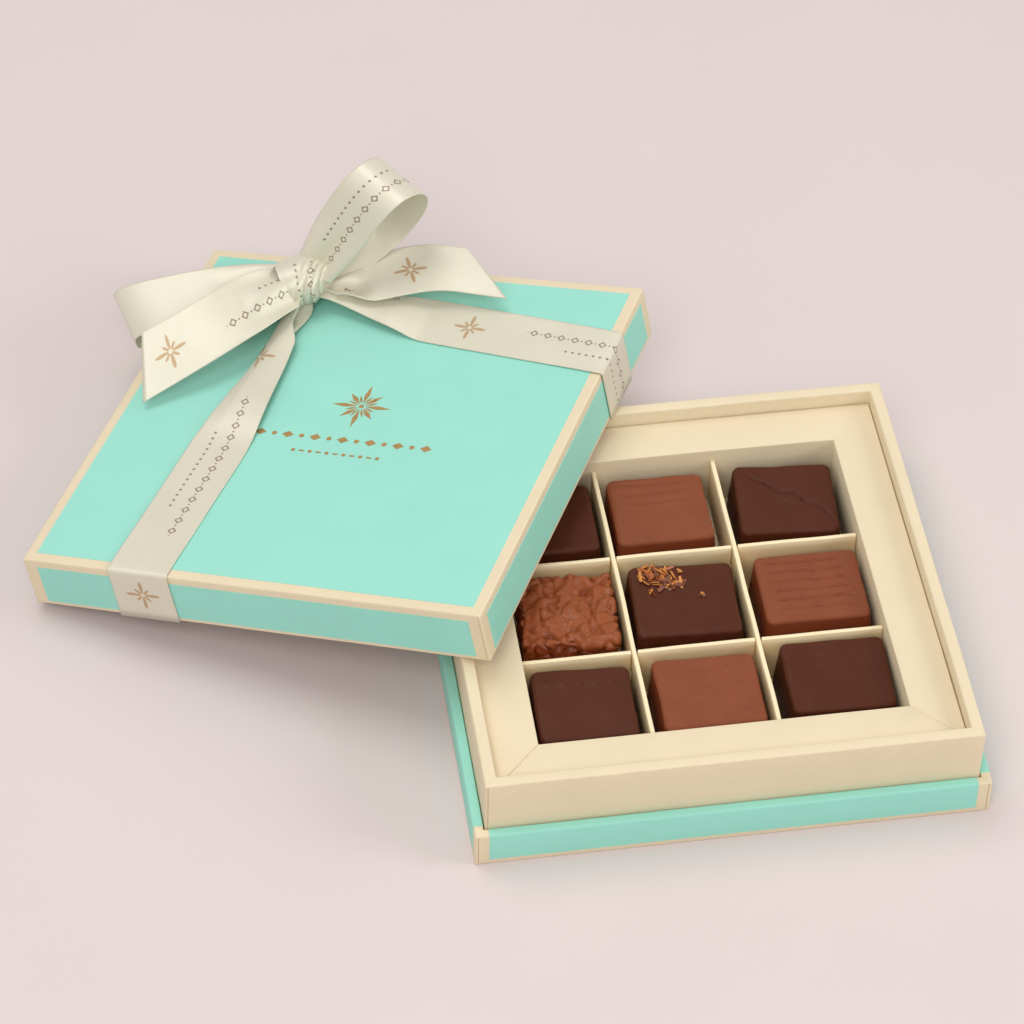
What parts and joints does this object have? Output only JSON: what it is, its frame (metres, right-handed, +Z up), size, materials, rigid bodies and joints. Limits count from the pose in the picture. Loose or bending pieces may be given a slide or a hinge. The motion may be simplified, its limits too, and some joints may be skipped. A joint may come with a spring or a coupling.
{
  "type": "box of chocolate pralines",
  "caption": "Square gift box of chocolate pralines in card cells, with its ribboned lid leaning on one corner of the tray.",
  "frame": {"origin": "middle of the tray's underside", "axes": "+Z up out of the tray, +Y towards the back of the tray as the picture shows it, +X to its right; the lid leans on the back left corner"},
  "size_m": [0.2423, 0.222, 0.0667],
  "materials": {
    "mint_board": "matt paper-wrapped board, pale mint",
    "cream_board": "matt paper-wrapped board, warm cream",
    "satin": "pale satin ribbon",
    "dark_chocolate": "dark chocolate, half matt",
    "milk_chocolate": "milk chocolate, half matt"
  },
  "bodies": {
    "root": {"base_tray": "mint_board", "neck_tray": "cream_board", "mat_frame": "cream_board", "divider_long_1": "cream_board", "divider_long_2": "cream_board", "divider_cross_1": "cream_board", "divider_cross_2": "cream_board", "praline_back_left": "dark_chocolate", "praline_back_mid": "milk_chocolate", "praline_back_right": "dark_chocolate", "praline_mid_left": "milk_chocolate", "praline_centre": "dark_chocolate", "praline_mid_right": "milk_chocolate", "praline_front_left": "dark_chocolate", "praline_front_mid": "milk_chocolate", "praline_front_right": "dark_chocolate", "lid": "mint_board", "ribbon_arm_front": "satin", "ribbon_arm_back": "satin", "ribbon_arm_left": "satin", "ribbon_arm_right": "satin", "bow_loop_left": "satin", "bow_loop_right": "satin", "bow_tail_left": "satin", "bow_tail_right": "satin", "bow_knot": "satin"}
  },
  "joints": []
}
